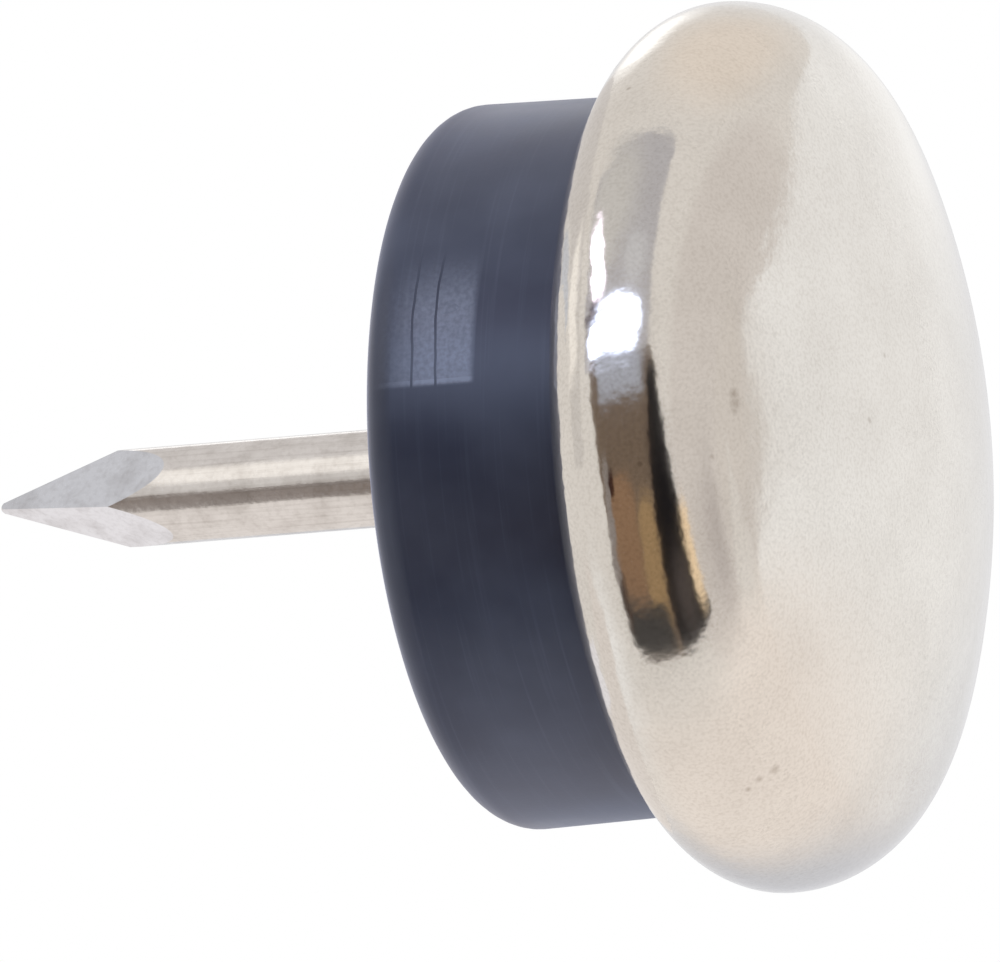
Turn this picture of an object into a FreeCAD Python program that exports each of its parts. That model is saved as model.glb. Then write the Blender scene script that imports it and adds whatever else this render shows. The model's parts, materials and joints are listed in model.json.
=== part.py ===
"""Nail on furniture glide: a domed steel cap rolled over the flange of a moulded
cushion, with a nail whose head is trapped between the two.

Millimetres. The glide stands on its dome: the origin is the lowest point of the
face, +Z runs up the nail, and the nail's point is at the top.
"""
import FreeCAD, Part
import math
import os

# Cap: drawn steel sheet, nickel plated
CAP_D = 24.0            # across its widest ring
SHEET = 0.7             # thickness of the sheet
FACE_R = 24.5           # outside radius of the shallow domed face
SHOULDER_R = 3.35       # outside radius between the face and the widest ring
RIM_R = 2.4             # outside radius of the rim rolled in behind the widest ring
RIM_TURN = 62.0         # degrees that the rim is rolled in from straight

# Cushion: moulded plastic, one piece with the flange that the cap grips
RING_OUT = 5.8          # how far it stands out behind the cap's lip
RING_FLARE = 0.14       # how much its radius grows from the lip to the seat
RING_EDGE_R = 1.0       # rounding where its side meets the seat

# Nail: drawn wire with an upset flat head and a diamond point
NAIL_D = 2.66           # the wire that shows
NAIL_OUT = 13.9         # from the seat to the tip
HEAD_D = 9.0
HEAD_T = 1.2
HEAD_SWELL = 0.2        # how much thicker in radius the wire is inside the cushion, upset with the head
FACETS = 4              # flat sides of the point
FACET_ANGLE = 13.6      # degrees between each facet and the axis
TIP_TRIM = 0.34         # length missing from the sharp end of the facets
TIP_R = 0.15            # rounding of the blunt tip
TIP_CONE = 50.0         # degrees between the nipped end and the axis
RIDGE_AZIMUTH = -97.8   # degrees from +X to one ridge between two facets

# Clearances
FIT_GAP = 0.05          # cap to cushion, and cap to the edge of the nail's head
LIP_GAP = 0.73          # radial groove between the cap's lip and the cushion
HOLE_GAP = 0.02         # radial, nail in the cushion's hole
POCKET_GAP = 0.1        # radial, nail's head in its pocket

# Places that follow from those sizes
CAP_R = CAP_D / 2
NAIL_R = NAIL_D / 2
SWELL_R = NAIL_R + HEAD_SWELL
HEAD_R = HEAD_D / 2
SHOULDER_C = CAP_R - SHOULDER_R
RIM_C = CAP_R - RIM_R
WIDE_Z = FACE_R - math.sqrt((FACE_R - SHOULDER_R) ** 2 - SHOULDER_C ** 2)
FACE_TURN = math.atan2(FACE_R - WIDE_Z, SHOULDER_C)
LIP_TURN = math.radians(RIM_TURN)
LIP_Z = WIDE_Z + RIM_R * math.sin(LIP_TURN)
RING_R = RIM_C + (RIM_R - SHEET) * math.cos(LIP_TURN) - LIP_GAP
SEAT_R = RING_R + RING_FLARE
SEAT_Z = LIP_Z + RING_OUT
HEAD_Z = FACE_R - math.sqrt((FACE_R - SHEET - FIT_GAP) ** 2 - HEAD_R ** 2)
TIP_Z = SEAT_Z + NAIL_OUT
CUTTER_MARGIN = 1.5     # how much larger than the wire the cutters of the facets are

AXIS = FreeCAD.Vector(0, 0, 1)
ORIGIN = FreeCAD.Vector(0, 0, 0)


def point(radius, height):
    """A point of a turned section, which lies in the XZ plane."""
    return FreeCAD.Vector(radius, 0, height)


def arc(centre, radius, start, end):
    """Arc of a section between two angles in radians, from +X towards +Z."""
    angles = (start, (start + end) / 2, end)
    on_arc = [point(centre[0] + radius * math.cos(a), centre[1] + radius * math.sin(a)) for a in angles]
    return Part.Arc(*on_arc).toShape()


def line(start, end):
    return Part.LineSegment(start, end).toShape()


def turned(edges):
    """Solid of revolution about Z of a closed section."""
    return Part.Face(Part.Wire(edges)).revolve(ORIGIN, AXIS, 360)


def cap_curve(depth, inner_radius=0.0):
    """Face, shoulder and rim at a depth below the cap's outside, from the middle out."""
    face_radius = FACE_R - depth
    face_start = -math.acos(inner_radius / face_radius)
    return [
        arc((0, FACE_R), face_radius, face_start, -FACE_TURN),
        arc((SHOULDER_C, WIDE_Z), SHOULDER_R - depth, -FACE_TURN, 0),
        arc((RIM_C, WIDE_Z), RIM_R - depth, 0, LIP_TURN),
    ]


def start_of(edges):
    return edges[0].valueAt(edges[0].FirstParameter)


def end_of(edges):
    return edges[-1].valueAt(edges[-1].LastParameter)


def steel_cap():
    """Domed cap of one thickness all over, its rim rolled in to a square-cut lip."""
    outside = cap_curve(0)
    inside = cap_curve(SHEET)
    lip = line(end_of(outside), end_of(inside))
    middle = line(start_of(inside), start_of(outside))
    return turned(outside + [lip] + inside[::-1] + [middle])


def cushion():
    """Flange that fills the cap, ring that stands out of it, pocket and hole for the nail."""
    pocket_r = HEAD_R + POCKET_GAP
    pocket_z = HEAD_Z + HEAD_T
    hole_r = SWELL_R + HOLE_GAP
    flange = cap_curve(SHEET + FIT_GAP, pocket_r)
    groove_z = end_of(flange).z
    corners = [
        end_of(flange),
        point(RING_R, groove_z),
        point(SEAT_R, SEAT_Z),
        point(hole_r, SEAT_Z),
        point(hole_r, pocket_z),
        point(pocket_r, pocket_z),
        start_of(flange),
    ]
    sides = [line(a, b) for a, b in zip(corners, corners[1:])]
    body = turned(flange + sides)
    circles = [edge for edge in body.Edges if isinstance(edge.Curve, Part.Circle)]
    seat_rim = [edge for edge in circles if math.isclose(edge.Curve.Radius, SEAT_R)]
    return body.makeFillet(RING_EDGE_R, seat_rim)


def facet_cutter(azimuth):
    """Block that lies on the outside of one facet, from the sharp end to clear of the wire."""
    length = CUTTER_MARGIN * NAIL_R / math.sin(math.radians(FACET_ANGLE))
    width = CUTTER_MARGIN * NAIL_D
    block = Part.makeBox(width, width, length, FreeCAD.Vector(0, -width / 2, -length))
    block.rotate(ORIGIN, FreeCAD.Vector(0, 1, 0), -FACET_ANGLE)
    block.rotate(ORIGIN, AXIS, azimuth)
    block.translate(FreeCAD.Vector(0, 0, TIP_Z + TIP_TRIM))
    return block


def nail():
    """Round wire with a flat head at the bottom and a faceted point at the top."""
    nip = math.radians(90 - TIP_CONE)
    ball = arc((0, TIP_Z - TIP_R), TIP_R, nip, math.pi / 2)
    ball_start = start_of([ball])
    cone_z = ball_start.z - (NAIL_R - ball_start.x) / math.tan(math.radians(TIP_CONE))
    corners = [
        point(0, TIP_Z),
        point(0, HEAD_Z),
        point(HEAD_R, HEAD_Z),
        point(HEAD_R, HEAD_Z + HEAD_T),
        point(SWELL_R, HEAD_Z + HEAD_T),
        point(SWELL_R, SEAT_Z),
        point(NAIL_R, SEAT_Z),
        point(NAIL_R, cone_z),
        ball_start,
    ]
    blank = turned([line(a, b) for a, b in zip(corners, corners[1:])] + [ball])
    facet_turn = 360 / FACETS
    return blank.cut([facet_cutter(RIDGE_AZIMUTH + facet_turn * (side + 0.5)) for side in range(FACETS)])


def main():
    os.makedirs("parts", exist_ok=True)
    pieces = {"steel_cap": steel_cap(), "cushion": cushion(), "nail": nail()}
    for name, shape in pieces.items():
        solid = shape.Solids[0]
        if not shape.isValid() or len(shape.Solids) != 1:
            raise ValueError(name + " is not one valid solid")
        solid.exportStep("parts/" + name + ".step")
        box = solid.optimalBoundingBox(False)
        print(f"{name}: {solid.Volume:.1f} mm3, radius {box.XMax:.3f}, z {box.ZMin:.3f} to {box.ZMax:.3f}")


main()
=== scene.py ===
"""Nail on furniture glide, dressed for rendering.

A nickel-plated domed cap, a moulded plastic cushion ring and a nail with a diamond point,
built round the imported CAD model. Metres; the glide stands on its dome at the origin, and
the nail points up along +Z.
"""

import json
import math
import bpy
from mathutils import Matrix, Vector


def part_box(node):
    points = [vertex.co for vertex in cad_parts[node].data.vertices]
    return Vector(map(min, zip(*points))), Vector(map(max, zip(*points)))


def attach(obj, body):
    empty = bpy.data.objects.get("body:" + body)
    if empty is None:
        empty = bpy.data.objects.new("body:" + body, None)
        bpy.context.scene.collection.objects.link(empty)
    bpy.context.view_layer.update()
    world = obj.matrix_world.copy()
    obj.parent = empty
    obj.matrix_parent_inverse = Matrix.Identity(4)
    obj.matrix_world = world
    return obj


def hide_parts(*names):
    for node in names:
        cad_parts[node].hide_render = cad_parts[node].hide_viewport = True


bl_info = {
    "name": "Nail on furniture glide",
    "version": (1, 0, 0),
    "blender": (4, 5, 0),
    "location": "View3D > Sidebar > Glide",
    "description": "Builds the cap, the cushion and the nail of a furniture glide, and its studio",
    "category": "Object",
}

from collections import namedtuple

import bmesh
import bpy
from bpy.props import FloatProperty, FloatVectorProperty, IntProperty, PointerProperty
from mathutils import Matrix, Vector

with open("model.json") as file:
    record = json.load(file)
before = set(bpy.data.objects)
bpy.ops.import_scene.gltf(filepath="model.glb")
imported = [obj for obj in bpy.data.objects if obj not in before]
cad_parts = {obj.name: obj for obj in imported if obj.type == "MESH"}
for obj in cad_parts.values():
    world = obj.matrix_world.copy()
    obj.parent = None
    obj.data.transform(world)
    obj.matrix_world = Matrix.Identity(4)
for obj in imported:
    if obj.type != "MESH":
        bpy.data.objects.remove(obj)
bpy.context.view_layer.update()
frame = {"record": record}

MM = 0.001
MERGE_DISTANCE = 0.0005 * MM
SAME_PLACE = 4 * MERGE_DISTANCE      # how near to a circle its edges are looked for
CUT_DISTANCE = MERGE_DISTANCE / 10   # how near to a cutting plane a vertex counts as on it
SAME_WAY = 0.99999                   # cosine to a facet's normal above which a face lies on it
SHARP_ANGLE = math.radians(12)

CAP_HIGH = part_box("steel_cap")[1]
NAIL_LOW, NAIL_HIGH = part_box("nail")
MOUNTS = {mount["name"]: mount for mount in frame["record"]["mounts"]}
WIRE_RADIUS = MOUNTS["nail_shank"]["dims"]["r_mm"] * MM
SEAT_HEIGHT = MOUNTS["seat"]["pos_m"][2]


def length(name, description, default):
    """A size that a user may change, in metres."""
    return FloatProperty(
        name=name, description=description, default=default, min=0.0, precision=5,
        subtype="DISTANCE", unit="LENGTH")


def angle(name, description, degrees):
    """An angle that a user may change, given here in degrees."""
    return FloatProperty(
        name=name, description=description, default=math.radians(degrees), subtype="ANGLE", unit="ROTATION")


def linear(code):
    """Linear RGBA of an sRGB hex colour such as #E2DED8."""
    channels = [int(code[start:start + 2], 16) / 255 for start in (1, 3, 5)]
    return [c / 12.92 if c <= 0.04045 else ((c + 0.055) / 1.055) ** 2.4 for c in channels] + [1.0]


def colour(name, description, default):
    """A colour that a user may change, given here as sRGB hex."""
    return FloatVectorProperty(
        name=name, description=description, default=linear(default), size=4, min=0.0, max=1.0,
        subtype="COLOR")


class GlideCapSizes(bpy.types.PropertyGroup):
    """Sizes of the drawn steel cap."""
    radius: length("Radius", "Outside radius at the widest ring", CAP_HIGH[0])
    sheet: length("Sheet", "Thickness of the steel sheet", 0.7 * MM)
    face_radius: length("Face radius", "Outside radius of the shallow dome", 24.5 * MM)
    shoulder_radius: length("Shoulder radius", "Outside radius from the dome to the widest ring", 3.35 * MM)
    rim_radius: length("Rim radius", "Outside radius of the rim behind the widest ring", 2.4 * MM)
    rim_turn: angle("Rim turn", "How far the rim is rolled in", 62.0)
    lip_break: length("Lip break", "Rounding of the lip's two cut edges", 0.08 * MM)
    steps: IntProperty(name="Steps", description="Steps of the turned shape", default=360, min=48)


class GlideCushionSizes(bpy.types.PropertyGroup):
    """Sizes of the moulded cushion."""
    clearance: length("Clearance", "Gap between the flange and the inside of the cap", 0.05 * MM)
    lip_gap: length("Lip gap", "Groove between the cap's lip and the ring", 0.73 * MM)
    flare: length("Flare", "How much the ring widens from the lip to the seat", 0.14 * MM)
    edge_radius: length("Edge radius", "Rounding where the ring's side meets the seat", 1.0 * MM)
    seat_height: length("Seat height", "Height of the flat seat above the floor", SEAT_HEIGHT)
    pocket_gap: length("Pocket gap", "Gap round the nail's head", 0.1 * MM)
    hole_gap: length("Hole gap", "Gap round the wire", 0.02 * MM)
    hole_lip: length("Hole lip", "Depth below the seat over which the hole fits the thinner wire", 0.4 * MM)
    hole_taper: length("Hole taper", "Height over which the hole and the wire widen below that", 0.4 * MM)
    hole_edge: length("Hole edge", "Rounding of the hole at the seat", 0.12 * MM)
    steps: IntProperty(name="Steps", description="Steps of the turned shape", default=288, min=48)


class GlideNailSizes(bpy.types.PropertyGroup):
    """Sizes of the nail."""
    wire_radius: length("Wire radius", "Radius of the drawn wire", WIRE_RADIUS)
    head_radius: length("Head radius", "Radius of the upset head", NAIL_HIGH[0])
    head_thickness: length("Head thickness", "Thickness of the upset head", 1.2 * MM)
    swell: length("Swell", "How much thicker in radius the wire is inside the cushion", 0.2 * MM)
    bottom: length("Bottom", "Height of the head's flat bottom", NAIL_LOW[2])
    tip: length("Tip", "Height of the blunt tip", NAIL_HIGH[2])
    facets: IntProperty(name="Facets", description="Flat sides of the point", default=4, min=3)
    facet_angle: angle("Facet angle", "Angle between each facet and the axis", 13.6)
    ridge_azimuth: angle("Ridge azimuth", "Turn from +X to one ridge between two facets", -97.8)
    tip_trim: length("Tip trim", "Length missing from the sharp end of the facets", 0.34 * MM)
    tip_radius: length("Tip radius", "Rounding of the blunt tip", 0.15 * MM)
    tip_cone: angle("Tip cone", "Angle between the nipped end and the axis", 50.0)
    ridge_width: length("Ridge width", "Rounding worn along each ridge", 0.04 * MM)
    steps: IntProperty(name="Steps", description="Steps of the turned shape", default=144, min=24)


class GlideFinishes(bpy.types.PropertyGroup):
    """Colours of the pieces and of the floor."""
    plate: colour("Cap plate", "Bright nickel on the cap", "#E2DED8")
    plate_speck: colour("Plate specks", "Pores and dust in the cap's plate", "#A59C92")
    wire: colour("Wire plate", "Nickel on the drawn wire", "#E6E3E0")
    wire_line: colour("Wire lines", "Drawing lines along the wire", "#A8A19B")
    plastic: colour("Plastic", "Moulded plastic of the cushion", "#20273C")
    # Paler colour for the plastic's handling marks and for the window's reflection painted on the ring
    plastic_marks_and_reflection: colour("Plastic scuff", "Rubbed plastic", "#727A90")
    floor: colour("Floor", "Plain pale floor", "#ECEAE6")


class GlideStageSizes(bpy.types.PropertyGroup):
    """Camera, floor and lamps."""
    camera_distance: length("Camera distance", "From the camera to what it looks at", 0.78)
    camera_elevation: angle("Camera elevation", "Height of the camera above the horizon", -19.65)
    camera_roll: angle("Camera roll", "Turn of the camera about its own axis", -94.65)
    camera_target: FloatVectorProperty(
        name="Camera target", description="What the camera looks at", size=3, precision=6,
        default=(-0.344 * MM, -2.364 * MM, 11.821 * MM), subtype="TRANSLATION", unit="LENGTH")
    camera_lens: FloatProperty(
        name="Camera lens", description="Focal length of the long lens", default=1046.0, min=1.0,
        unit="CAMERA")
    floor_radius: length("Floor radius", "Where the floor has faded out", 0.3)
    lamp_distance: length("Lamp distance", "From the glide to each soft lamp", 0.7)
    lamp_side: length("Lamp side", "Side of each square soft lamp", 0.5)


# Meshes

def start_section(shape, radius, height):
    """First vertex of a section, which lies in the XZ plane."""
    return shape.verts.new((radius, 0.0, height))


def line_to(shape, vertex, radius, height):
    """Extrudes the end of a section along a straight line."""
    end = bmesh.ops.extrude_vert_indiv(shape, verts=[vertex])["verts"][0]
    end.co = (radius, 0.0, height)
    return end


def arc_by(shape, vertex, centre, turn, steps):
    """Spins the end of a section about a centre; a positive turn goes from +X towards +Z."""
    spun = bmesh.ops.spin(
        shape, geom=[vertex], cent=(centre[0], 0.0, centre[1]), axis=(0.0, -1.0, 0.0),
        angle=turn, steps=steps)
    return next(item for item in spun["geom_last"] if isinstance(item, bmesh.types.BMVert))


def turn_solid(shape, steps):
    """Spins a section round Z into a closed solid, its poles merged and its faces outwards."""
    bmesh.ops.spin(
        shape, geom=shape.verts[:] + shape.edges[:], cent=(0.0, 0.0, 0.0), axis=(0.0, 0.0, 1.0),
        angle=math.tau, steps=steps, use_merge=True)
    bmesh.ops.remove_doubles(shape, verts=shape.verts, dist=MERGE_DISTANCE)
    bmesh.ops.recalc_face_normals(shape, faces=shape.faces)


def circle_edges(shape, radius, height):
    """Edges of the circle about Z at that radius and height."""
    def on_circle(vertex):
        return max(abs(vertex.co.xy.length - radius), abs(vertex.co.z - height)) < SAME_PLACE

    found = [edge for edge in shape.edges if all(on_circle(vertex) for vertex in edge.verts)]
    if not found:
        raise RuntimeError(f"no edge at radius {radius:.5f} and height {height:.5f}")
    return found


def round_edges(shape, edges, radius, segments):
    """Rounds edges with a bevel of that radius."""
    bmesh.ops.bevel(
        shape, geom=edges, offset=radius, offset_type="OFFSET", affect="EDGES", segments=segments,
        profile=0.5, material=-1, clamp_overlap=True)


def object_from(shape, name, material):
    """Mesh object of a bmesh, in place of an older one of that name."""
    old = bpy.data.objects.get(name)
    if old is not None:
        bpy.data.objects.remove(old)
    mesh = bpy.data.meshes.new(name)
    shape.to_mesh(mesh)
    shape.free()
    mesh.materials.append(material)
    made = bpy.data.objects.new(name, mesh)
    bpy.context.scene.collection.objects.link(made)
    return made


def piece_from(shape, name, material):
    """Closed piece of the glide, smooth but for its sharp edges."""
    open_edges = [edge for edge in shape.edges if not edge.is_manifold]
    if open_edges:
        raise RuntimeError(f"{name} has {len(open_edges)} open edges")
    for face in shape.faces:
        face.smooth = True
    for edge in shape.edges:
        edge.smooth = edge.calc_face_angle() < SHARP_ANGLE
    return object_from(shape, name, material)


# Materials

def add_node(tree, kind, inputs=None, **settings):
    """Adds a node with its settings; each input is given a value, or is linked from a socket."""
    node = tree.nodes.new(kind)
    for setting, value in settings.items():
        setattr(node, setting, value)
    for socket, value in (inputs or {}).items():
        if isinstance(value, bpy.types.NodeSocket):
            tree.links.new(value, node.inputs[socket])
        else:
            node.inputs[socket].default_value = value
    return node


# Sockets of a Mix node that is set to colours, which share their names with its number sockets
MIX_FACTOR, MIX_A, MIX_B, MIX_RESULT = 0, 6, 7, 2


def per(size):
    """Scale of a pattern whose features are that many metres across."""
    return 1.0 / size


def empty_material(name):
    """Material of that name with no nodes yet."""
    material = bpy.data.materials.get(name) or bpy.data.materials.new(name)
    material.use_nodes = True
    material.node_tree.nodes.clear()
    return material


# Marks that handling has left in the cap's plate: x, y, z and radius in millimetres
PLATE_MARKS = (
    (1.45, -10.19, 2.27, 0.22),
    (1.2, -10.18, 2.26, 0.25),
    (1.0, -10.22, 2.3, 0.15),
    (2.17, -3.34, 0.33, 0.10),
    (0.47, -4.64, 0.45, 0.12),
    (-8.81, -7.36, 3.42, 0.14),
    (-8.58, -7.20, 3.03, 0.20),
    (-9.05, -7.37, 3.75, 0.12),
)
# How far the middle of a mark, and of a pore, hides the plate
MARK_DEPTH = 0.55
PORE_DEPTH = 0.5
# Share of the pattern's cells that have no pore
CLEAN_SHARE = 0.82
# Heights over which the waves of the rolled rim set in, and how much deeper than orange peel they are
ROLLED_FROM, ROLLED_FULL = 4.0 * MM, 5.6 * MM
WAVE_DEPTH = 5.0


def plated_sheet(finishes):
    """Bright nickel plate on drawn and buffed steel sheet.

    The plate mirrors the room, a little softened. Orange peel from the drawing breaks up
    the edges of what it mirrors, rolling the rim has left waves in it, and pores and dust
    give it a faint dark speckle.
    """
    material = empty_material("Nickel plate on drawn steel sheet")
    tree = material.node_tree
    place = add_node(tree, "ShaderNodeTexCoord").outputs["Object"]
    cloud = add_node(tree, "ShaderNodeTexNoise", {"Vector": place, "Scale": per(2.5 * MM), "Detail": 3.0})
    grain = add_node(tree, "ShaderNodeTexNoise", {"Vector": place, "Scale": per(0.10 * MM), "Detail": 2.0})
    peel = add_node(tree, "ShaderNodeTexNoise", {"Vector": place, "Scale": per(0.55 * MM), "Detail": 2.5})
    pores = add_node(tree, "ShaderNodeTexVoronoi", {"Vector": place, "Scale": per(1.1 * MM)})
    speck = add_node(tree, "ShaderNodeMapRange", {
        "Value": grain.outputs["Fac"], "From Min": 0.42, "From Max": 0.75, "To Min": 0.0, "To Max": 0.22})
    pore = add_node(tree, "ShaderNodeMapRange", {
        "Value": pores.outputs["Distance"], "From Min": 0.03, "From Max": 0.09, "To Min": PORE_DEPTH,
        "To Max": 0.0})
    cell = add_node(tree, "ShaderNodeSeparateColor", {"Color": pores.outputs["Color"]})
    rare = add_node(
        tree, "ShaderNodeMath", {0: cell.outputs["Red"], 1: CLEAN_SHARE}, operation="GREATER_THAN")
    rare_pore = add_node(
        tree, "ShaderNodeMath", {0: pore.outputs["Result"], 1: rare.outputs["Value"]}, operation="MULTIPLY")
    worn = rare_pore.outputs["Value"]
    for x, y, z, radius in PLATE_MARKS:
        away = add_node(
            tree, "ShaderNodeVectorMath", {0: place, 1: (x * MM, y * MM, z * MM)}, operation="DISTANCE")
        mark = add_node(tree, "ShaderNodeMapRange", {
            "Value": away.outputs["Value"], "From Min": 0.0, "From Max": radius * MM, "To Min": MARK_DEPTH,
            "To Max": 0.0})
        worn = add_node(tree, "ShaderNodeMath", {
            0: worn, 1: mark.outputs["Result"]}, operation="MAXIMUM").outputs["Value"]
    cloudy = add_node(tree, "ShaderNodeMapRange", {
        "Value": cloud.outputs["Fac"], "From Min": 0.35, "From Max": 0.7, "To Min": 0.0, "To Max": 0.13})
    fine = add_node(
        tree, "ShaderNodeMath", {0: speck.outputs["Result"], 1: cloudy.outputs["Result"]}, operation="ADD")
    marks = add_node(
        tree, "ShaderNodeMath", {0: fine.outputs["Value"], 1: worn}, operation="ADD", use_clamp=True)
    tint = add_node(tree, "ShaderNodeMix", {
        MIX_FACTOR: marks.outputs["Value"], MIX_A: finishes.plate, MIX_B: finishes.plate_speck},
        data_type="RGBA")
    roughness = add_node(tree, "ShaderNodeMapRange", {
        "Value": cloud.outputs["Fac"], "From Min": 0.3, "From Max": 0.7, "To Min": 0.09, "To Max": 0.14})
    where = add_node(tree, "ShaderNodeSeparateXYZ", {"Vector": place})
    waves = add_node(tree, "ShaderNodeTexNoise", {"Vector": place, "Scale": per(1.4 * MM), "Detail": 2.0})
    rolled = add_node(tree, "ShaderNodeMapRange", {
        "Value": where.outputs["Z"], "From Min": ROLLED_FROM, "From Max": ROLLED_FULL, "To Min": 0.0,
        "To Max": WAVE_DEPTH}, interpolation_type="SMOOTHSTEP")
    relief = add_node(tree, "ShaderNodeMath", {
        0: waves.outputs["Fac"], 1: rolled.outputs["Result"], 2: peel.outputs["Fac"]},
        operation="MULTIPLY_ADD")
    bump = add_node(tree, "ShaderNodeBump", {
        "Height": relief.outputs["Value"], "Strength": 0.6, "Distance": 0.012 * MM})
    shader = add_node(tree, "ShaderNodeBsdfPrincipled", {
        "Base Color": tint.outputs[MIX_RESULT], "Metallic": 1.0, "Roughness": roughness.outputs["Result"],
        "Normal": bump.outputs["Normal"]})
    add_node(tree, "ShaderNodeOutputMaterial", {"Surface": shader.outputs["BSDF"]})
    return material


# Strength of the relief that the drawing lines make
LINE_RELIEF = 0.35


def plated_wire(finishes):
    """Nickel plate on drawn steel wire.

    The die leaves fine lines along the wire, which the thin plate doesn't fill, so its
    highlights have ragged sides, and the plate has dulled in patches. The lines are drawn
    coarser than the real ones so that they show. The point has been pressed, so its facets,
    which lean by more than the shank, are smoother.
    """
    material = empty_material("Nickel plate on drawn steel wire")
    tree = material.node_tree
    coordinates = add_node(tree, "ShaderNodeTexCoord")
    place = coordinates.outputs["Object"]
    facing = add_node(tree, "ShaderNodeSeparateXYZ", {"Vector": coordinates.outputs["Normal"]})
    drawn = add_node(tree, "ShaderNodeMapRange", {
        "Value": facing.outputs["Z"], "From Min": 0.08, "From Max": 0.2, "To Min": 1.0, "To Max": 0.12})
    along = add_node(tree, "ShaderNodeMapping", {
        "Vector": place, "Scale": (per(0.11 * MM), per(0.11 * MM), per(5.0 * MM))})
    lines = add_node(
        tree, "ShaderNodeTexNoise", {"Vector": along.outputs["Vector"], "Scale": 1.0, "Detail": 3.0})
    speck = add_node(tree, "ShaderNodeTexNoise", {"Vector": place, "Scale": per(0.16 * MM), "Detail": 2.0})
    line_mark = add_node(tree, "ShaderNodeMapRange", {
        "Value": lines.outputs["Fac"], "From Min": 0.5, "From Max": 0.8, "To Min": 0.0, "To Max": 0.35})
    speck_mark = add_node(tree, "ShaderNodeMapRange", {
        "Value": speck.outputs["Fac"], "From Min": 0.45, "From Max": 0.75, "To Min": 0.0, "To Max": 0.2})
    patches = add_node(tree, "ShaderNodeTexNoise", {"Vector": place, "Scale": per(0.9 * MM), "Detail": 4.0})
    patch_mark = add_node(tree, "ShaderNodeMapRange", {
        "Value": patches.outputs["Fac"], "From Min": 0.45, "From Max": 0.7, "To Min": 0.0, "To Max": 0.3})
    worn = add_node(tree, "ShaderNodeMath", {
        0: speck_mark.outputs["Result"], 1: patch_mark.outputs["Result"]}, operation="ADD")
    marks = add_node(tree, "ShaderNodeMath", {
        0: line_mark.outputs["Result"], 1: drawn.outputs["Result"], 2: worn.outputs["Value"]},
        operation="MULTIPLY_ADD", use_clamp=True)
    tint = add_node(tree, "ShaderNodeMix", {
        MIX_FACTOR: marks.outputs["Value"], MIX_A: finishes.wire, MIX_B: finishes.wire_line},
        data_type="RGBA")
    height = add_node(
        tree, "ShaderNodeMath", {0: lines.outputs["Fac"], 1: speck.outputs["Fac"]}, operation="ADD")
    strength = add_node(
        tree, "ShaderNodeMath", {0: drawn.outputs["Result"], 1: LINE_RELIEF}, operation="MULTIPLY")
    bump = add_node(tree, "ShaderNodeBump", {
        "Height": height.outputs["Value"], "Strength": strength.outputs["Value"], "Distance": 0.008 * MM})
    shader = add_node(tree, "ShaderNodeBsdfPrincipled", {
        "Base Color": tint.outputs[MIX_RESULT], "Metallic": 1.0, "Roughness": 0.15,
        "Normal": bump.outputs["Normal"]})
    add_node(tree, "ShaderNodeOutputMaterial", {"Surface": shader.outputs["BSDF"]})
    return material


# A patch on the ring where the window's reflection is painted paler: azimuths from -Y towards +X,
# and heights above the floor. Each side is where the painted reflection begins and where it is full,
# and the wobble makes one of them uneven.
PAINTED_WINDOW_START = (math.radians(13.5), math.radians(14.5))
PAINTED_WINDOW_END = (math.radians(40), math.radians(26))
PAINTED_WINDOW_WOBBLE = math.radians(3)
PAINTED_WINDOW_LOW = (9.75 * MM, 10.0 * MM)
PAINTED_WINDOW_HIGH = (12.9 * MM, 10.9 * MM)
# Step at its border, against the depth of the grain, and what it adds to the roughness
PAINTED_WINDOW_STEP = 2.0
PAINTED_WINDOW_ROUGHNESS = -0.06
# Heights of two bent dark lines in it, the window's painted bars, where the painted reflection is left out
PAINTED_BAR_HEIGHTS = (11.06 * MM, 11.72 * MM)
PAINTED_BAR_BEND = 0.3 * MM
PAINTED_BAR_HALF_WIDTH = 0.035 * MM
# A strip near its start where the painted reflection is paler still
PAINTED_STRIP_MIDDLE, PAINTED_STRIP_HALF_WIDTH = math.radians(14.4), math.radians(0.45)
PAINTED_STRIP_GAIN = 0.3


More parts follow.
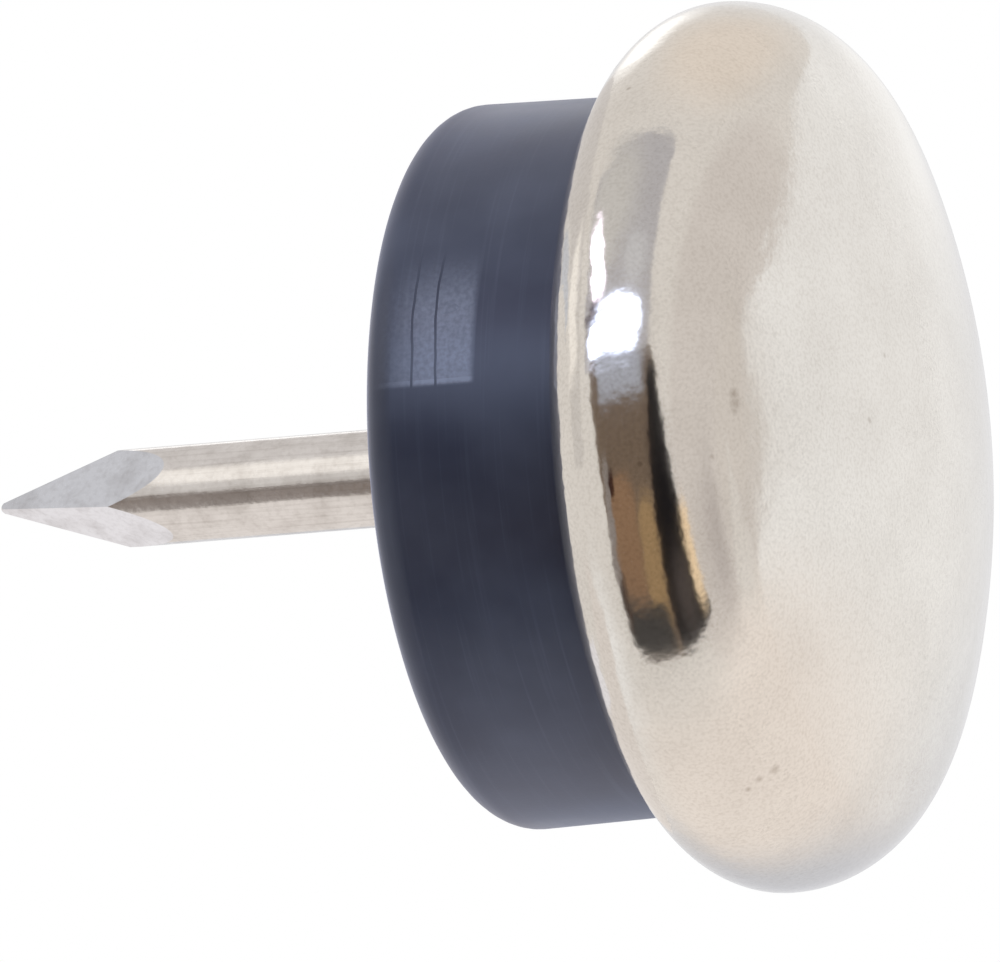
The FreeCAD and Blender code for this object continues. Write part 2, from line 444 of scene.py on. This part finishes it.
def moulded_plastic(finishes):
    """Polyethylene moulded in a satin tool, dark blue-black.

    It is smooth enough to catch a soft sheen, and handling leaves faint lines round it. Where it
    mirrors the window one place is painted paler, a painted reflection with two dark lines for
    the window's bars; that place is also shinier, with a faint step at its border.
    """
    material = empty_material("Satin moulded polyethylene")
    tree = material.node_tree
    place = add_node(tree, "ShaderNodeTexCoord").outputs["Object"]
    around = add_node(tree, "ShaderNodeMapping", {
        "Vector": place, "Scale": (per(6.0 * MM), per(6.0 * MM), per(0.12 * MM))})
    lines = add_node(
        tree, "ShaderNodeTexNoise", {"Vector": around.outputs["Vector"], "Scale": 1.0, "Detail": 3.0})
    cloud = add_node(tree, "ShaderNodeTexNoise", {"Vector": place, "Scale": per(3.0 * MM), "Detail": 3.0})
    grain = add_node(tree, "ShaderNodeTexNoise", {"Vector": place, "Scale": per(0.12 * MM), "Detail": 1.0})

    where = add_node(tree, "ShaderNodeSeparateXYZ", {"Vector": place})
    front = add_node(tree, "ShaderNodeMath", {0: where.outputs["Y"], 1: -1.0}, operation="MULTIPLY")
    azimuth = add_node(
        tree, "ShaderNodeMath", {0: where.outputs["X"], 1: front.outputs["Value"]}, operation="ARCTAN2")
    wobble = add_node(tree, "ShaderNodeMath", {
        0: cloud.outputs["Fac"], 1: PAINTED_WINDOW_WOBBLE, 2: azimuth.outputs["Value"]}, operation="MULTIPLY_ADD")
    # Mask of the patch where the window's reflection is painted paler; it also makes the patch smoother and
    # gives it a step at its border
    painted_window = 1.0
    for value, (begins, full) in (
            (azimuth.outputs["Value"], PAINTED_WINDOW_START),
            (wobble.outputs["Value"], PAINTED_WINDOW_END),
            (where.outputs["Z"], PAINTED_WINDOW_LOW),
            (where.outputs["Z"], PAINTED_WINDOW_HIGH)):
        side = add_node(
            tree, "ShaderNodeMapRange", {"Value": value, "From Min": begins, "From Max": full},
            interpolation_type="SMOOTHSTEP")
        painted_window = add_node(tree, "ShaderNodeMath", {
            0: side.outputs["Result"], 1: painted_window}, operation="MULTIPLY").outputs["Value"]
    # Two bent dark lines in the patch, the window's bars in its painted reflection
    bent = add_node(tree, "ShaderNodeMath", {
        0: cloud.outputs["Fac"], 1: PAINTED_BAR_BEND, 2: where.outputs["Z"]}, operation="MULTIPLY_ADD")
    painted_bars = 0.0
    for height in PAINTED_BAR_HEIGHTS:
        painted_bar = add_node(tree, "ShaderNodeMath", {
            0: bent.outputs["Value"], 1: height, 2: PAINTED_BAR_HALF_WIDTH}, operation="COMPARE")
        painted_bars = add_node(tree, "ShaderNodeMath", {
            0: painted_bar.outputs["Value"], 1: painted_bars}, operation="ADD").outputs["Value"]
    painted_bars = add_node(tree, "ShaderNodeMath", {
        0: painted_bars, 1: painted_window}, operation="MULTIPLY").outputs["Value"]
    # How bright the painted reflection is: uneven with the grain, and paler along a strip
    uneven = add_node(tree, "ShaderNodeMapRange", {
        "Value": grain.outputs["Fac"], "From Min": 0.3, "From Max": 0.7, "To Min": 0.5, "To Max": 0.78})
    between_bars = add_node(
        tree, "ShaderNodeMath", {0: painted_window, 1: painted_bars}, operation="SUBTRACT", use_clamp=True)
    strip = add_node(tree, "ShaderNodeMath", {
        0: azimuth.outputs["Value"], 1: PAINTED_STRIP_MIDDLE, 2: PAINTED_STRIP_HALF_WIDTH}, operation="COMPARE")
    reflection_level = add_node(tree, "ShaderNodeMath", {
        0: strip.outputs["Value"], 1: PAINTED_STRIP_GAIN, 2: uneven.outputs["Result"]}, operation="MULTIPLY_ADD")
    painted_reflection = add_node(tree, "ShaderNodeMath", {
        0: between_bars.outputs["Value"], 1: reflection_level.outputs["Value"]}, operation="MULTIPLY")

    lined = add_node(tree, "ShaderNodeMapRange", {
        "Value": lines.outputs["Fac"], "From Min": 0.56, "From Max": 0.78, "To Min": 0.0, "To Max": 0.08})
    clouded = add_node(tree, "ShaderNodeMapRange", {
        "Value": cloud.outputs["Fac"], "From Min": 0.4, "From Max": 0.75, "To Min": 0.0, "To Max": 0.12})
    handled = add_node(
        tree, "ShaderNodeMath", {0: lined.outputs["Result"], 1: clouded.outputs["Result"]}, operation="ADD")
    # Handling lines and cloud, which the plastic has, plus the window's painted reflection
    marks = add_node(tree, "ShaderNodeMath", {
        0: handled.outputs["Value"], 1: painted_reflection.outputs["Value"]}, operation="ADD", use_clamp=True)
    tint = add_node(tree, "ShaderNodeMix", {
        MIX_FACTOR: marks.outputs["Value"], MIX_A: finishes.plastic, MIX_B: finishes.plastic_marks_and_reflection},
        data_type="RGBA")
    satin = add_node(tree, "ShaderNodeMapRange", {
        "Value": cloud.outputs["Fac"], "From Min": 0.3, "From Max": 0.7, "To Min": 0.32, "To Max": 0.40})
    roughness = add_node(tree, "ShaderNodeMath", {
        0: painted_window, 1: PAINTED_WINDOW_ROUGHNESS, 2: satin.outputs["Result"]}, operation="MULTIPLY_ADD")
    fine = add_node(
        tree, "ShaderNodeMath", {0: lines.outputs["Fac"], 1: grain.outputs["Fac"]}, operation="ADD")
    height = add_node(tree, "ShaderNodeMath", {
        0: painted_window, 1: PAINTED_WINDOW_STEP, 2: fine.outputs["Value"]}, operation="MULTIPLY_ADD")
    bump = add_node(tree, "ShaderNodeBump", {
        "Height": height.outputs["Value"], "Strength": 0.3, "Distance": 0.004 * MM})
    shader = add_node(tree, "ShaderNodeBsdfPrincipled", {
        "Base Color": tint.outputs[MIX_RESULT], "IOR": 1.5, "Roughness": roughness.outputs["Value"],
        "Sheen Weight": 0.26, "Sheen Roughness": 0.4, "Sheen Tint": linear("#C6CEF6"),
        "Normal": bump.outputs["Normal"]})
    add_node(tree, "ShaderNodeOutputMaterial", {"Surface": shader.outputs["BSDF"]})
    return material


# The glide

# Steps of the arcs of the face, the shoulder and the rim, outside, inside and along the flange
OUTSIDE_STEPS = (44, 30, 24)
INSIDE_STEPS = (24, 20, 16)
FLANGE_STEPS = (16, 16, 12)
# Steps of the other roundings
LIP_SEGMENTS = 3
SEAT_EDGE_SEGMENTS = 10
HOLE_EDGE_SEGMENTS = 4
TIP_STEPS = 6
RIDGE_SEGMENTS = 2


def cap_section(cap):
    """Centres of the shoulder's and the rim's arcs in the cap's section, and the shoulder's turn."""
    shoulder_x = cap.radius - cap.shoulder_radius
    height = cap.face_radius - math.sqrt((cap.face_radius - cap.shoulder_radius) ** 2 - shoulder_x ** 2)
    turn = math.atan2(cap.face_radius - height, shoulder_x)
    return (shoulder_x, height), (cap.radius - cap.rim_radius, height), turn


class GLIDE_OT_cap(bpy.types.Operator):
    """Build the domed cap: one sheet all over, its rim rolled in over the cushion's flange"""
    bl_idname = "glide.cap"
    bl_label = "Cap"

    def execute(self, context):
        sizes = context.scene.glide_cap
        shoulder, rim, shoulder_turn = cap_section(sizes)
        face = (0.0, sizes.face_radius)
        face_turn = math.pi / 2 - shoulder_turn
        inside = sizes.rim_radius - sizes.sheet

        def lip(radius):
            """Where the lip meets the rim's outside or inside, of that radius."""
            return rim[0] + radius * math.cos(sizes.rim_turn), rim[1] + radius * math.sin(sizes.rim_turn)

        shape = bmesh.new()
        end = start_section(shape, 0.0, 0.0)
        end = arc_by(shape, end, face, face_turn, OUTSIDE_STEPS[0])
        end = arc_by(shape, end, shoulder, shoulder_turn, OUTSIDE_STEPS[1])
        end = arc_by(shape, end, rim, sizes.rim_turn, OUTSIDE_STEPS[2])
        end = line_to(shape, end, *lip(inside))
        end = arc_by(shape, end, rim, -sizes.rim_turn, INSIDE_STEPS[2])
        end = arc_by(shape, end, shoulder, -shoulder_turn, INSIDE_STEPS[1])
        arc_by(shape, end, face, -face_turn, INSIDE_STEPS[0])
        turn_solid(shape, sizes.steps)
        lip_edges = circle_edges(shape, *lip(sizes.rim_radius)) + circle_edges(shape, *lip(inside))
        round_edges(shape, lip_edges, sizes.lip_break, LIP_SEGMENTS)

        cap = piece_from(shape, "cap_shell", plated_sheet(context.scene.glide_finishes))
        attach(cap, "root")
        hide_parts("steel_cap")
        return {"FINISHED"}


class GLIDE_OT_cushion(bpy.types.Operator):
    """Build the moulded cushion: the ring that shows, and the flange, pocket and hole inside"""
    bl_idname = "glide.cushion"
    bl_label = "Cushion"

    def execute(self, context):
        scene = context.scene
        sizes, cap, nail = scene.glide_cushion, scene.glide_cap, scene.glide_nail
        shoulder, rim, shoulder_turn = cap_section(cap)
        depth = cap.sheet + sizes.clearance
        face_radius = cap.face_radius - depth
        pocket_radius = nail.head_radius + sizes.pocket_gap
        pocket_top = nail.bottom + nail.head_thickness
        mouth_radius = nail.wire_radius + sizes.hole_gap
        hole_radius = mouth_radius + nail.swell
        taper_top = sizes.seat_height - sizes.hole_lip
        lip_inside = rim[0] + (cap.rim_radius - cap.sheet) * math.cos(cap.rim_turn)
        ring_radius = lip_inside - sizes.lip_gap
        groove_height = rim[1] + (cap.rim_radius - depth) * math.sin(cap.rim_turn)
        seat_radius = ring_radius + sizes.flare
        face_start = math.acos(pocket_radius / face_radius)
        pocket_bottom = cap.face_radius - face_radius * math.sin(face_start)

        shape = bmesh.new()
        end = start_section(shape, pocket_radius, pocket_bottom)
        end = arc_by(shape, end, (0.0, cap.face_radius), face_start - shoulder_turn, FLANGE_STEPS[0])
        end = arc_by(shape, end, shoulder, shoulder_turn, FLANGE_STEPS[1])
        end = arc_by(shape, end, rim, cap.rim_turn, FLANGE_STEPS[2])
        end = line_to(shape, end, ring_radius, groove_height)
        end = line_to(shape, end, seat_radius, sizes.seat_height)
        end = line_to(shape, end, mouth_radius, sizes.seat_height)
        end = line_to(shape, end, mouth_radius, taper_top)
        end = line_to(shape, end, hole_radius, taper_top - sizes.hole_taper)
        end = line_to(shape, end, hole_radius, pocket_top)
        end = line_to(shape, end, pocket_radius, pocket_top)
        line_to(shape, end, pocket_radius, pocket_bottom)
        turn_solid(shape, sizes.steps)
        seat_edge = circle_edges(shape, seat_radius, sizes.seat_height)
        round_edges(shape, seat_edge, sizes.edge_radius, SEAT_EDGE_SEGMENTS)
        hole_edge = circle_edges(shape, mouth_radius, sizes.seat_height)
        round_edges(shape, hole_edge, sizes.hole_edge, HOLE_EDGE_SEGMENTS)

        cushion = piece_from(shape, "cushion_ring", moulded_plastic(scene.glide_finishes))
        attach(cushion, "root")
        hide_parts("cushion")
        return {"FINISHED"}


class GLIDE_OT_nail(bpy.types.Operator):
    """Build the nail: upset head, drawn wire and a diamond point with worn ridges"""
    bl_idname = "glide.nail"
    bl_label = "Nail"

    def execute(self, context):
        sizes, cushion = context.scene.glide_nail, context.scene.glide_cushion
        head_top = sizes.bottom + sizes.head_thickness
        swell_radius = sizes.wire_radius + sizes.swell
        nip = math.pi / 2 - sizes.tip_cone
        ball_centre = sizes.tip - sizes.tip_radius
        ball_start = (sizes.tip_radius * math.cos(nip), ball_centre + sizes.tip_radius * math.sin(nip))
        cone_height = ball_start[1] - (sizes.wire_radius - ball_start[0]) / math.tan(sizes.tip_cone)
        taper_top = cushion.seat_height - cushion.hole_lip

        shape = bmesh.new()
        end = start_section(shape, 0.0, sizes.bottom)
        end = line_to(shape, end, sizes.head_radius, sizes.bottom)
        end = line_to(shape, end, sizes.head_radius, head_top)
        end = line_to(shape, end, swell_radius, head_top)
        end = line_to(shape, end, swell_radius, taper_top - cushion.hole_taper)
        end = line_to(shape, end, sizes.wire_radius, taper_top)
        end = line_to(shape, end, sizes.wire_radius, cone_height)
        end = line_to(shape, end, *ball_start)
        arc_by(shape, end, (0.0, ball_centre), math.pi / 2 - nip, TIP_STEPS)
        turn_solid(shape, sizes.steps)

        apex = Vector((0.0, 0.0, sizes.tip + sizes.tip_trim))
        flat = math.cos(sizes.facet_angle)
        facet_turn = math.tau / sizes.facets
        azimuths = [sizes.ridge_azimuth + facet_turn * (side + 0.5) for side in range(sizes.facets)]
        normals = [
            Vector((flat * math.cos(azimuth), flat * math.sin(azimuth), math.sin(sizes.facet_angle)))
            for azimuth in azimuths]
        for normal in normals:
            cut = bmesh.ops.bisect_plane(
                shape, geom=shape.verts[:] + shape.edges[:] + shape.faces[:], dist=CUT_DISTANCE,
                plane_co=apex, plane_no=normal, clear_outer=True)
            edges = [item for item in cut["geom_cut"] if isinstance(item, bmesh.types.BMEdge)]
            border = [edge for edge in edges if edge.is_boundary]
            bmesh.ops.edgeloop_fill(shape, edges=border)
        bmesh.ops.remove_doubles(shape, verts=shape.verts, dist=MERGE_DISTANCE)
        bmesh.ops.recalc_face_normals(shape, faces=shape.faces)
        shape.normal_update()

        def on_facet(face):
            return any(face.normal.dot(normal) > SAME_WAY for normal in normals)

        ridges = [edge for edge in shape.edges if all(map(on_facet, edge.link_faces))]
        round_edges(shape, ridges, sizes.ridge_width, RIDGE_SEGMENTS)

        nail = piece_from(shape, "nail_wire", plated_wire(context.scene.glide_finishes))
        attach(nail, "root")
        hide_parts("nail")
        return {"FINISHED"}


# The studio

# Cards stand round the glide and are seen only in its reflections. Azimuths run from -Y,
# where the camera is, towards +X, in degrees; heights and radius are in millimetres, and a
# pair of heights is that at the start and at the end. Of two cards the one with the smaller
# radius hides the other. Soft is the share of a card over which its border fades, and square
# is how square its corners are. The ones called near stand just outside the cap and above it,
# where the nail mirrors them; the cap and the ring mirror the others.
Card = namedtuple("Card", "name start end low high radius colour level soft square")
CARDS = (
    Card("lit corner", -130, -20, (40, 40), (330, 330), 119, "#FFFFFF", 1.03, 0.80, 2),
    Card("paper floor", -85, 215, (-900, -900), (-45, -80), 118, "#E6E0DC", 1.0, 0.08, 8),
    Card("far shade", 110, 240, (-900, -900), (-215, -215), 117, "#DED7D3", 1.0, 0.90, 2),
    Card("under shade", -75, 235, (-900, -900), (-50, -50), 25, "#E7E1DC", 1.0, 0.08, 6),
    Card("desk shade", -95, 20, (-210, -210), (-30, -30), 60, "#CEC7C4", 1.0, 0.95, 2),
    Card("golden side", 88, 155, (-80, -80), (60, 60), 115, "#F6ECE2", 1.0, 0.70, 2),
    Card("far wall", -51, 30, (-104, -36), (48, 112), 113, "#7A6A5C", 1.0, 0.04, 10),
    Card("side wall", 24, 86, (-31, -22), (134, 104), 111, "#C6C4C8", 1.0, 0.05, 14),
    Card("wall glow", 40, 94, (-10, -10), (135, 135), 110.5, "#DAD8D6", 1.0, 0.60, 2),
    Card("wall foot", 38, 60, (-24, -24), (26, 26), 110.2, "#D8D8DC", 1.0, 0.70, 2),
    Card("window frame", 14, 27, (-26, -24), (70, 90), 110, "#B4B8C4", 1.0, 0.25, 6),
    Card("window", 24.5, 39.5, (-8, -22), (100, 118), 106, "#D4E0FF", 4.0, 0.10, 4),
    Card("skylight", 41, 69, (38, 74), (92, 106), 106, "#F4ECFF", 3.0, 0.15, 4),
    Card("window post", 39, 44, (60, 62), (124, 126), 105, "#3A1A14", 1.0, 0.30, 6),
    Card("oak cupboard", -37, -2, (0, 0), (58, 76), 109, "#96785F", 1.0, 0.25, 6),
    Card("oak floor", -48, -6, (-22, -26), (8, 4), 108, "#A88C68", 1.0, 0.30, 4),
    Card("dark curtain", -50, -35, (-24, -22), (54, 56), 107, "#4A4847", 1.0, 0.30, 6),
    Card("cupboard foot", -46, -24, (34, 38), (60, 70), 106.5, "#4E4039", 1.0, 0.60, 3),
    Card("red book", -11, -1, (32, 36), (56, 58), 104, "#33150F", 1.0, 0.25, 4),
    Card("table edge", -51, 24, (-104, -34), (-20, -24), 105, "#1E1C1E", 1.0, 0.06, 12),
    Card("dusty edge", -54, -18, (-78, -72), (-18, -22), 104, "#524B49", 1.0, 0.85, 2),
    Card("brass bowl", -49, -9, (-99, -84), (-68, -60), 103, "#F2D8B4", 1.2, 0.45, 4),
    Card("white board", 151, 224, (-252, -252), (60, 60), 112, "#FFFFFF", 1.03, 0.04, 6),
    Card("lit side", -172, -50, (-330, -330), (160, 160), 111, "#FDF5EF", 1.05, 0.50, 3),
    Card("far end", 135, 225, (-42, -42), (130, 130), 110, "#EDEDEF", 1.0, 0.80, 2),
    Card("cool end", 180, 250, (-70, -70), (125, 125), 109, "#DDDFE6", 1.0, 0.85, 2),
    Card("bright end", 122, 164, (28, 28), (88, 88), 104, "#FFFFFF", 1.7, 0.90, 2),
    Card("bright rim", 155, 178, (-40, -40), (42, 42), 108, "#FFFFFF", 1.08, 0.80, 2),
    Card("lens hood", -31.5, 1, (46, 46), (63, 63), 100, "#958D89", 1.0, 0.05, 20),
    Card("near grey", -1, 43, (16, 16), (32, 32), 17.6, "#E0DCD9", 1.0, 0.03, 20),
    Card("near lamp", 16, 64, (16, 16), (32, 32), 17.2, "#FFFBF6", 1.12, 0.50, 20),
    Card("near wall", 37.5, 145, (16, 16), (32, 32), 17.4, "#E2DEDC", 1.0, 0.03, 20),
    Card("near paper", -145, -30, (16, 16), (32, 32), 17.0, "#EFE9E5", 1.03, 0.05, 20),
    Card("near sky", 50, 118, (33, 33), (45, 45), 17.0, "#D9DCE4", 1.0, 0.10, 20),
    Card("near corner", -154, -86, (29, 29), (43, 43), 16.6, "#F2F1F6", 1.08, 0.10, 20),
)
CARD_STEP = 3.0      # degrees of a card's curve to each of its faces


def card_material(card):
    """Board or wall in the room: it glows at its own level, and its border fades.

    How far a point is from the middle is a power mean of its two shares of the way to the
    sides, so that a low power rounds the corners and a high one leaves them square.
    """
    material = empty_material("Studio " + card.name)
    tree = material.node_tree
    uv = add_node(tree, "ShaderNodeTexCoord").outputs["UV"]
    across = add_node(tree, "ShaderNodeSeparateXYZ", {"Vector": uv})
    total = 0.0
    for axis in "XY":
        share = add_node(
            tree, "ShaderNodeMath", {0: across.outputs[axis], 1: 2.0, 2: -1.0}, operation="MULTIPLY_ADD")
        size = add_node(tree, "ShaderNodeMath", {0: share.outputs["Value"]}, operation="ABSOLUTE")
        power = add_node(
            tree, "ShaderNodeMath", {0: size.outputs["Value"], 1: card.square}, operation="POWER")
        total = add_node(tree, "ShaderNodeMath", {
            0: power.outputs["Value"], 1: total}, operation="ADD").outputs["Value"]
    away = add_node(tree, "ShaderNodeMath", {0: total, 1: 1.0 / card.square}, operation="POWER")
    mask = add_node(tree, "ShaderNodeMapRange", {
        "Value": away.outputs["Value"], "From Min": 1.0 - card.soft, "From Max": 1.0, "To Min": 1.0,
        "To Max": 0.0}, interpolation_type="SMOOTHSTEP")
    glow = add_node(tree, "ShaderNodeEmission", {"Color": linear(card.colour), "Strength": card.level})
    clear = add_node(tree, "ShaderNodeBsdfTransparent")
    both = add_node(tree, "ShaderNodeMixShader", {
        0: mask.outputs["Result"], 1: clear.outputs["BSDF"], 2: glow.outputs["Emission"]})
    add_node(tree, "ShaderNodeOutputMaterial", {"Surface": both.outputs["Shader"]})
    material.cycles.emission_sampling = "NONE"
    return material


def make_card(card):
    """Curved card, seen only in reflections."""
    start, turn = math.radians(card.start), math.radians(card.end - card.start)
    steps = max(2, round((card.end - card.start) / CARD_STEP))
    radius = card.radius * MM
    shape = bmesh.new()
    corner = shape.verts.new((radius * math.sin(start), -radius * math.cos(start), 0.0))
    bmesh.ops.spin(
        shape, geom=[corner], cent=(0.0, 0.0, 0.0), axis=(0.0, 0.0, 1.0), angle=turn, steps=steps)
    raised = bmesh.ops.extrude_edge_only(shape, edges=shape.edges[:])["geom"]
    upper = {item for item in raised if isinstance(item, bmesh.types.BMVert)}
    uv = shape.loops.layers.uv.new("UVMap")
    for vertex in shape.verts:
        turned = math.atan2(vertex.co.x, -vertex.co.y) - start - turn / 2
        along = ((turned + math.pi) % math.tau - math.pi) / turn + 0.5
        ends = card.high if vertex in upper else card.low
        vertex.co.z = (ends[0] + (ends[1] - ends[0]) * along) * MM
        for loop in vertex.link_loops:
            loop[uv].uv = (along, float(vertex in upper))
    made = object_from(shape, "studio_" + card.name.replace(" ", "_"), card_material(card))
    made.visible_camera = made.visible_diffuse = made.visible_transmission = False
    made.visible_shadow = made.visible_volume_scatter = False


FLOOR_DROP = 0.02 * MM      # how far the floor lies below the dome
FLOOR_FADE_FROM = 0.35      # share of the floor's radius at which it begins to fade


def floor_material(finishes, radius):
    """Matt pale board, seen from above only, that fades out before its border.

    The photograph's camera looks up from below it, so the back lets everything through,
    and the metal mirrors the white background in its place.
    """
    material = empty_material("Matt pale board")
    tree = material.node_tree
    place = add_node(tree, "ShaderNodeTexCoord").outputs["Object"]
    away = add_node(tree, "ShaderNodeVectorMath", {0: place}, operation="LENGTH")
    fade = add_node(tree, "ShaderNodeMapRange", {
        "Value": away.outputs["Value"], "From Min": radius * FLOOR_FADE_FROM, "From Max": radius,
        "To Min": 0.0, "To Max": 1.0}, interpolation_type="SMOOTHSTEP")
    back = add_node(tree, "ShaderNodeNewGeometry").outputs["Backfacing"]
    path = add_node(tree, "ShaderNodeLightPath")
    unseen = fade.outputs["Result"]
    for reason in (back, path.outputs["Is Glossy Ray"], path.outputs["Is Transmission Ray"]):
        unseen = add_node(tree, "ShaderNodeMath", {
            0: unseen, 1: reason}, operation="MAXIMUM").outputs["Value"]
    board = add_node(tree, "ShaderNodeBsdfDiffuse", {"Color": finishes.floor})
    clear = add_node(tree, "ShaderNodeBsdfTransparent")
    both = add_node(
        tree, "ShaderNodeMixShader", {0: unseen, 1: board.outputs["BSDF"], 2: clear.outputs["BSDF"]})
    add_node(tree, "ShaderNodeOutputMaterial", {"Surface": both.outputs["Shader"]})
    return material


def make_floor(sizes, finishes):
    """Round pale floor just under the dome."""
    shape = bmesh.new()
    bmesh.ops.create_circle(shape, cap_ends=True, segments=96, radius=sizes.floor_radius)
    bmesh.ops.translate(shape, vec=(0.0, 0.0, -FLOOR_DROP), verts=shape.verts)
    object_from(shape, "studio_floor", floor_material(finishes, sizes.floor_radius))


BACKGROUND_LEVEL = 1.0      # 1 is white
TENT = "#F0ECE8"
TENT_LEVEL = 1.0
ROOM_LEVEL = 0.5


def make_world():
    """White background, a tent's off-white for reflections, and a plain level of light."""
    world = bpy.data.worlds.get("Studio") or bpy.data.worlds.new("Studio")
    bpy.context.scene.world = world
    world.use_nodes = True
    tree = world.node_tree
    tree.nodes.clear()
    path = add_node(tree, "ShaderNodeLightPath")
    room = add_node(tree, "ShaderNodeBackground", {"Color": linear("#FFFFFF"), "Strength": ROOM_LEVEL})
    tent = add_node(tree, "ShaderNodeBackground", {"Color": linear(TENT), "Strength": TENT_LEVEL})
    white = add_node(
        tree, "ShaderNodeBackground", {"Color": linear("#FFFFFF"), "Strength": BACKGROUND_LEVEL})
    mirrored = add_node(tree, "ShaderNodeMixShader", {
        0: path.outputs["Is Glossy Ray"], 1: room.outputs["Background"], 2: tent.outputs["Background"]})
    seen = add_node(tree, "ShaderNodeMath", {
        0: path.outputs["Is Camera Ray"], 1: path.outputs["Is Transmission Ray"]}, operation="MAXIMUM")
    all_rays = add_node(tree, "ShaderNodeMixShader", {
        0: seen.outputs["Value"], 1: mirrored.outputs["Shader"], 2: white.outputs["Background"]})
    add_node(tree, "ShaderNodeOutputWorld", {"Surface": all_rays.outputs["Shader"]})
    world.cycles.sampling_method = "NONE"


# Azimuths of the lamps run as those of the cards do, and elevations are degrees above the floor
Lamp = namedtuple("Lamp", "name azimuth elevation level")
LAMPS = (
    Lamp("window_lamp", 92, 8, 1.5),
    Lamp("fill_lamp", -90, 6, 1.1),
    Lamp("back_lamp", -170, 50, 0.22),
)


def make_lamp(lamp, sizes):
    """Square soft lamp that lights matt surfaces to that level and isn't mirrored."""
    data = bpy.data.lights.new(lamp.name, "AREA")
    data.shape, data.size = "SQUARE", sizes.lamp_side
    # A square lamp of power P lights a surface that faces it to a level of P / (pi d)^2
    data.energy = lamp.level * (math.pi * sizes.lamp_distance) ** 2
    made = bpy.data.objects.new(lamp.name, data)
    bpy.context.scene.collection.objects.link(made)
    azimuth, elevation = math.radians(lamp.azimuth), math.radians(lamp.elevation)
    flat = math.cos(elevation)
    away = Vector((math.sin(azimuth) * flat, -math.cos(azimuth) * flat, math.sin(elevation)))
    made.location = away * sizes.lamp_distance
    made.rotation_euler = away.to_track_quat("Z", "Y").to_euler()
    made.visible_camera = made.visible_glossy = False


SENSOR_WIDTH = 36.0      # millimetres


def make_camera(sizes):
    """Long lens that looks up at the glide from below, turned so that the nail points left."""
    data = bpy.data.cameras.new("Camera")
    data.lens, data.sensor_width = sizes.camera_lens, SENSOR_WIDTH
    made = bpy.data.objects.new("Camera", data)
    bpy.context.scene.collection.objects.link(made)
    back = Vector((0.0, -math.cos(sizes.camera_elevation), math.sin(sizes.camera_elevation)))
    level = back.to_track_quat("Z", "Y").to_matrix()
    turned = level @ Matrix.Rotation(sizes.camera_roll, 3, "Z")
    place = Vector(sizes.camera_target) + back * sizes.camera_distance
    made.matrix_world = Matrix.Translation(place) @ turned.to_4x4()
    bpy.context.scene.camera = made


class GLIDE_OT_stage(bpy.types.Operator):
    """Set up the floor, the white background, the reflected room, the lamps and the camera"""
    bl_idname = "glide.stage"
    bl_label = "Stage"

    def execute(self, context):
        sizes = context.scene.glide_stage
        make_floor(sizes, context.scene.glide_finishes)
        for card in CARDS:
            make_card(card)
        make_world()
        for lamp in LAMPS:
            make_lamp(lamp, sizes)
        make_camera(sizes)
        context.scene.view_settings.view_transform = "Standard"
        return {"FINISHED"}


class GLIDE_PT_panel(bpy.types.Panel):
    """Sizes, colours and the steps that build the glide"""
    bl_idname = "GLIDE_PT_panel"
    bl_label = "Furniture glide"
    bl_space_type = "VIEW_3D"
    bl_region_type = "UI"
    bl_category = "Glide"

    def draw(self, context):
        for operator, group in STEPS:
            box = self.layout.box()
            box.operator(operator)
            settings = getattr(context.scene, group)
            for name in type(settings).__annotations__:
                box.prop(settings, name)
        box = self.layout.box()
        for name in GlideFinishes.__annotations__:
            box.prop(context.scene.glide_finishes, name)


STEPS = (
    ("glide.cap", "glide_cap"),
    ("glide.cushion", "glide_cushion"),
    ("glide.nail", "glide_nail"),
    ("glide.stage", "glide_stage"),
)
GROUPS = {
    "glide_cap": GlideCapSizes,
    "glide_cushion": GlideCushionSizes,
    "glide_nail": GlideNailSizes,
    "glide_finishes": GlideFinishes,
    "glide_stage": GlideStageSizes,
}
CLASSES = (
    *GROUPS.values(), GLIDE_OT_cap, GLIDE_OT_cushion, GLIDE_OT_nail, GLIDE_OT_stage, GLIDE_PT_panel)


def register():
    for cls in CLASSES:
        bpy.utils.register_class(cls)
    for name, group in GROUPS.items():
        setattr(bpy.types.Scene, name, PointerProperty(type=group))


def unregister():
    for name in GROUPS:
        delattr(bpy.types.Scene, name)
    for cls in reversed(CLASSES):
        bpy.utils.unregister_class(cls)


def main():
    register()
    bpy.ops.glide.cap()
    bpy.ops.glide.cushion()
    bpy.ops.glide.nail()
    bpy.ops.glide.stage()


if __name__ == "__main__":
    main()
